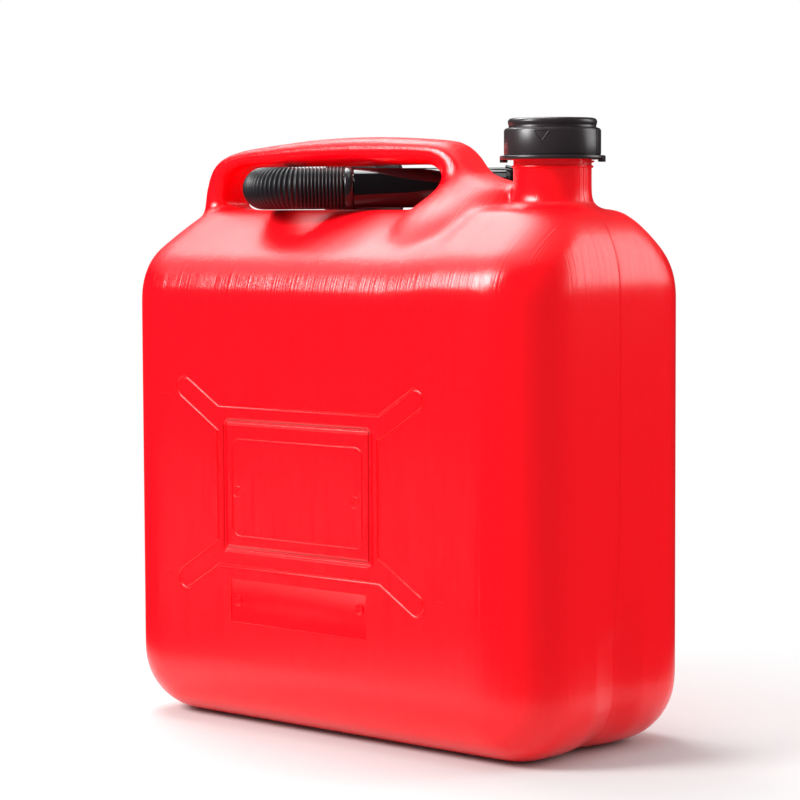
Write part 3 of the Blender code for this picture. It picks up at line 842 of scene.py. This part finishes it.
def capLugs(facts):
    # squeezed, they free the cap to turn
    lugs = []
    middle = facts["flange"] - facts["lugInset"]
    height = facts["flangeTop"] - 0.3 * mm - facts["lugFoot"]
    for side in (0, math.pi):
        turn = facts["lugTurn"] + side
        place = (middle * math.cos(turn), middle * math.sin(turn), facts["lugFoot"] + height / 2)
        lug = addBox(place, (facts["lugDepth"], facts["lugWidth"], height), (0, 0, turn))
        roundEdges(lug, 0.4 * mm, 3)
        lugs.append(lug)
    return lugs


def buildCap(facts):
    low, ledge, top, skirt = facts["low"], facts["ledge"], facts["top"], facts["skirt"]
    disc, under, flange = facts["disc"], facts["under"], facts["flange"]
    profile = [
        (0, top - 0.8 * mm),
        (disc - 6.0 * mm, top - 0.8 * mm),
        (disc - 5.2 * mm, top - 0.1 * mm),
        (disc - 2.6 * mm, top - 0.1 * mm),
        (disc - 1.2 * mm, top - 0.5 * mm),
        (disc - 0.3 * mm, top - 1.4 * mm),
        (disc, top - 2.6 * mm),
        (disc - 0.3 * mm, top - 4.1 * mm),
        (disc - 1.0 * mm, ledge + 0.5 * mm),
        (skirt - 1.6 * mm, ledge - 0.1 * mm),
        (skirt - 0.6 * mm, ledge - 0.6 * mm),
        (skirt, ledge - 1.8 * mm),
        (skirt, facts["flangeTop"] + 0.7 * mm),
        (skirt - 0.5 * mm, facts["flangeTop"]),
        (flange - 0.3 * mm, facts["flangeTop"] - 0.1 * mm),
        (flange, facts["flangeTop"] - 0.7 * mm),
        (flange, low + 0.4 * mm),
        (flange - 0.4 * mm, low),
        (facts["bore"] + 0.5 * mm, low),
        (facts["bore"], low + 0.5 * mm),
        (facts["bore"], under),
        (0, under),
    ]
    cap = turnedPiece("screw_cap", profile, 128)
    roundEdges(cap, 0.25 * mm, 2, 35)
    cutAway(cap, skirtSlits(facts))
    lugs = capLugs(facts)
    marks = [capMark(facts, facts["mark"] + side) for side in (0, math.pi)]
    thread = threadRidge(
        "cap_thread",
        threadFacts,
        facts["bore"] + 0.3 * mm,
        facts["bore"] - 0.7 * mm,
        tankFacts["threadStart"] + threadFacts["pitch"] * 1.5,
        threadFacts["capTurns"],
        threadFacts["start"],
    )
    joinPieces(cap, [*lugs, *marks, thread])
    cap.location = (tankFacts["neckX"], 0, 0)
    finishPiece(cap, capBlack, "cap", "cap", 35)


def buildCapSeal():
    low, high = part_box("cap_seal")
    radius = (high[0] - low[0]) / 2
    profile = [
        (0, high[2] - 0.1 * mm),
        (radius - 4.0 * mm, high[2] - 0.1 * mm),
        (radius - 3.4 * mm, high[2]),
        (radius - 0.3 * mm, high[2]),
        (radius, high[2] - 0.3 * mm),
        (radius, low[2] + 0.3 * mm),
        (radius - 0.3 * mm, low[2]),
        (radius - 2.0 * mm, low[2]),
        (radius - 2.6 * mm, low[2] + 0.2 * mm),
        (0, low[2] + 0.2 * mm),
    ]
    seal = turnedPiece("foam_seal", profile, 96)
    seal.location = (tankFacts["neckX"], 0, 0)
    finishPiece(seal, sealWhite, "cap_seal", "cap_seal", 30)


buildCap(capFacts)
buildCapSeal()
print("cap ready")

# The spout: a corrugated hose held at both ends, a glossy tube with its cap, and a union nut

spoutFacts = {
    "crossing": (-0.86 * mm, 0, 368.9 * mm),
    "turn": math.radians(42),
    "hoseStart": 37.5 * mm,
    "lead": 29.3 * mm,
    "bend": 26.5 * mm,
    "bendSteps": 66,
    "hoseEnd": 54.2 * mm,
    "rib": 14.5 * mm,
    "valley": 13.3 * mm,
    "ribPitch": 2.5 * mm,
    "hoseWall": 0.9 * mm,
    "cuff": 14.3 * mm,
    "cuffStart": 31.1 * mm,
    "cuffEnd": 37.1 * mm,
    "tube": 13.5 * mm,
    "tubeWall": 1.6 * mm,
    "tubeStart": 30.6 * mm,
    "tubeEnd": 84.0 * mm,
    "spigot": 10.6 * mm,
    "spigotWall": 1.4 * mm,
    "spigotReach": 7 * mm,
    "flangeReach": 8 * mm,
    "endCapPlay": 0.25 * mm,
    "endCapStart": 73.0 * mm,
    "endCap": 15.2 * mm,
    "endCapEnd": 85.7 * mm,
}

nutFacts = {
    "axisX": -94.7 * mm,
    "start": 51.95 * mm,
    "length": 26.9 * mm,
    "radius": 31.3 * mm,
    "ribDepth": 0.9 * mm,
    "ribs": 40,
    "bore": 28.0 * mm,
    "hole": 15.3 * mm,
    "endWall": 2.4 * mm,
    "sealHole": 20.6 * mm,
    "threadLow": 8.5 * mm,
}


def spoutRoute(facts):
    # straight out of the cuff, round to the back and straight through the handle to the nut
    along = Vector((math.cos(facts["turn"]), math.sin(facts["turn"]), 0))
    start = Vector(facts["crossing"]) - along * facts["hoseStart"]
    bendStart = start - along * facts["lead"]
    centre = bendStart + Vector((-along.y, along.x, 0)) * facts["bend"]
    turned = math.pi / 2 + facts["turn"]
    points = [start, (start + bendStart) / 2]
    for step in range(facts["bendSteps"] + 1):
        spin = Matrix.Rotation(-turned * step / facts["bendSteps"], 3, "Z")
        points.append(centre + spin @ (bendStart - centre))
    last = points[-1]
    points.append(Vector((last.x, (last.y + facts["hoseEnd"]) / 2, last.z)))
    points.append(Vector((last.x, facts["hoseEnd"], last.z)))
    return points


def buildHose(facts):
    points = spoutRoute(facts)
    length = sum((b - a).length for a, b in zip(points, points[1:]))
    count = round(length / facts["ribPitch"])
    pitch = length / count
    swell = (facts["rib"] - facts["valley"]) / 2
    steps = 8
    profile = []
    for step in range(steps + 1):
        wave = (1 - math.cos(2 * math.pi * step / steps)) / 2
        profile.append((facts["valley"] + 2 * swell * wave**0.7, pitch * step / steps))
    hose = turnedPiece("corrugated_hose", profile, 48)
    route = drawRoute("spout_route", points)
    addModifier(
        hose,
        "ribs",
        "ARRAY",
        count=count,
        use_relative_offset=False,
        use_constant_offset=True,
        constant_offset_displace=(0, 0, pitch),
        use_merge_vertices=True,
        merge_threshold=2 * weld,
    )
    addModifier(hose, "route", "CURVE", object=route, deform_axis="POS_Z")
    addModifier(hose, "wall", "SOLIDIFY", thickness=facts["hoseWall"], offset=-1)
    applyAll(hose)
    bpy.data.objects.remove(route)
    bpy.ops.object.mode_set(mode="EDIT")
    bpy.ops.mesh.select_all(action="SELECT")
    bpy.ops.mesh.normals_make_consistent(inside=False)
    leaveEdit()
    finishPiece(hose, hoseBlack, "spout", "spout_hose", 60)


def layAlongTube(piece):
    piece.rotation_euler = (0, math.pi / 2, spoutFacts["turn"])
    piece.location = spoutFacts["crossing"]


def layAlongNut(piece):
    piece.rotation_euler = (-math.pi / 2, 0, 0)
    piece.location = (nutFacts["axisX"], nutFacts["start"], spoutFacts["crossing"][2])


def buildCuff(facts):
    outer, start, end = facts["cuff"], -facts["cuffEnd"], -facts["cuffStart"]
    profile = [
        (outer - 1.2 * mm, start),
        (outer - 0.3 * mm, start + 0.6 * mm),
        (outer, start + 1.4 * mm),
        (outer, end - 1.6 * mm),
        (outer - 0.3 * mm, end - 0.6 * mm),
        (outer - 0.9 * mm, end),
        (facts["spigot"] + 0.4 * mm, end),
        (facts["spigot"] + 0.4 * mm, start),
        (outer - 1.2 * mm, start),
    ]
    cuff = turnedPiece("hose_cuff", profile, 96)
    layAlongTube(cuff)
    finishPiece(cuff, cuffBlack, "spout", "spout_cuff", 40)


def buildTube(facts):
    outer, inner = facts["tube"], facts["tube"] - facts["tubeWall"]
    start, end = -facts["tubeStart"], facts["tubeEnd"]
    spigot = facts["spigot"]
    hollow = spigot - facts["spigotWall"]
    spigotEnd = -facts["cuffEnd"] - facts["spigotReach"]
    profile = [
        (outer - 0.5 * mm, end),
        (outer, end - 0.5 * mm),
        (outer, start + 1.0 * mm),
        (outer - 0.3 * mm, start + 0.3 * mm),
        (outer - 1.0 * mm, start),
        (spigot, start),
        (spigot, spigotEnd),
        (hollow, spigotEnd),
        (hollow, start),
        (inner, start + 2.0 * mm),
        (inner, end),
        (outer - 0.5 * mm, end),
    ]
    tube = turnedPiece("outlet_tube", profile, 96)
    layAlongTube(tube)
    finishPiece(tube, glossBlack, "spout", "spout_tube", 40)


def buildEndCap(facts):
    outer, start, end = facts["endCap"], facts["endCapStart"], facts["endCapEnd"]
    inner = facts["tube"] + facts["endCapPlay"]
    under = facts["tubeEnd"] + facts["endCapPlay"]
    profile = [
        (0, end - 0.5 * mm),
        (outer - 4.0 * mm, end - 0.5 * mm),
        (outer - 3.5 * mm, end),
        (outer - 1.6 * mm, end),
        (outer - 0.9 * mm, end - 0.3 * mm),
        (outer - 0.5 * mm, end - 1.2 * mm),
        (outer - 0.5 * mm, start + 2.0 * mm),
        (outer, start + 1.6 * mm),
        (outer, start + 0.3 * mm),
        (outer - 0.3 * mm, start),
        (inner, start),
        (inner, under),
        (0, under),
    ]
    endCap = turnedPiece("tube_end_cap", profile, 96)
    layAlongTube(endCap)
    finishPiece(endCap, glossBlack, "spout_end_cap", "spout_end_cap", 40)


def buildNut(facts):
    outer, bore, hole = facts["radius"], facts["bore"], facts["hole"]
    length, wall = facts["length"], facts["endWall"]
    grip = outer - facts["ribDepth"]
    profile = [
        (outer - 0.8 * mm, length),
        (outer, length - 0.6 * mm),
        (outer, length - 2.6 * mm),
        (grip, length - 3.0 * mm),
        (grip, 3.0 * mm),
        (grip - 0.4 * mm, 1.4 * mm),
        (grip - 1.8 * mm, 0.1 * mm),
        (hole + 0.4 * mm, 0.1 * mm),
        (hole, 0.5 * mm),
        (hole, wall),
        (bore, wall),
        (bore, length - 0.6 * mm),
        (bore + 0.6 * mm, length),
        (outer - 0.8 * mm, length),
    ]
    steps = 4 * facts["ribs"]
    nut = turnedPiece("union_nut", profile, steps)
    pickFaces(
        nut,
        lambda face: abs(math.hypot(face.center.x, face.center.y) - grip) < 0.1 * mm
        and 3.0 * mm < face.center.z < length - 3.0 * mm
        and int((math.atan2(face.center.y, face.center.x) / (2 * math.pi) % 1) * steps) % 4 < 2,
    )
    bpy.ops.mesh.extrude_region_shrink_fatten(TRANSFORM_OT_shrink_fatten={"value": facts["ribDepth"]})
    leaveEdit()
    roundEdges(nut, 0.2 * mm, 2, 40)
    thread = threadRidge(
        "nut_thread",
        threadFacts,
        bore + 0.3 * mm,
        bore - 1.2 * mm,
        wall + facts["threadLow"],
        threadFacts["nutTurns"],
        0,
    )
    joinPieces(nut, [thread])
    layAlongNut(nut)
    finishPiece(nut, capBlack, "spout_nut", "spout_nut", 35)


def buildSpoutBase(facts):
    low = nutFacts["endWall"] + 0.3 * mm
    high = low + 2.4 * mm
    flange = nutFacts["bore"] - 0.6 * mm
    foot = low - facts["flangeReach"]
    spigot = facts["spigot"]
    hollow = spigot - facts["spigotWall"]
    profile = [
        (flange - 0.4 * mm, high),
        (flange, high - 0.4 * mm),
        (flange, low + 0.4 * mm),
        (flange - 0.4 * mm, low),
        (spigot + 0.6 * mm, low),
        (spigot, low - 0.6 * mm),
        (spigot, foot + 0.6 * mm),
        (spigot - 0.5 * mm, foot),
        (hollow, foot),
        (hollow, high - 0.5 * mm),
        (hollow + 0.5 * mm, high),
        (flange - 0.4 * mm, high),
    ]
    base = turnedPiece("hose_flange", profile, 96)
    layAlongNut(base)
    finishPiece(base, capBlack, "spout", "spout_base", 40)


def buildSpoutSeal():
    low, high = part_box("spout_seal")
    outer = (high[0] - low[0]) / 2
    start = low[1] - nutFacts["start"]
    end = high[1] - nutFacts["start"]
    inner = nutFacts["sealHole"]
    profile = [
        (outer - 0.3 * mm, end),
        (outer, end - 0.3 * mm),
        (outer, start + 0.3 * mm),
        (outer - 0.3 * mm, start),
        (inner, start),
        (inner, end - 0.3 * mm),
        (inner + 0.3 * mm, end),
        (outer - 0.3 * mm, end),
    ]
    seal = turnedPiece("nut_seal", profile, 96)
    layAlongNut(seal)
    finishPiece(seal, sealWhite, "spout", "spout_seal", 40)


buildHose(spoutFacts)
buildCuff(spoutFacts)
buildTube(spoutFacts)
buildEndCap(spoutFacts)
buildNut(nutFacts)
buildSpoutBase(spoutFacts)
buildSpoutSeal()
print("spout ready")
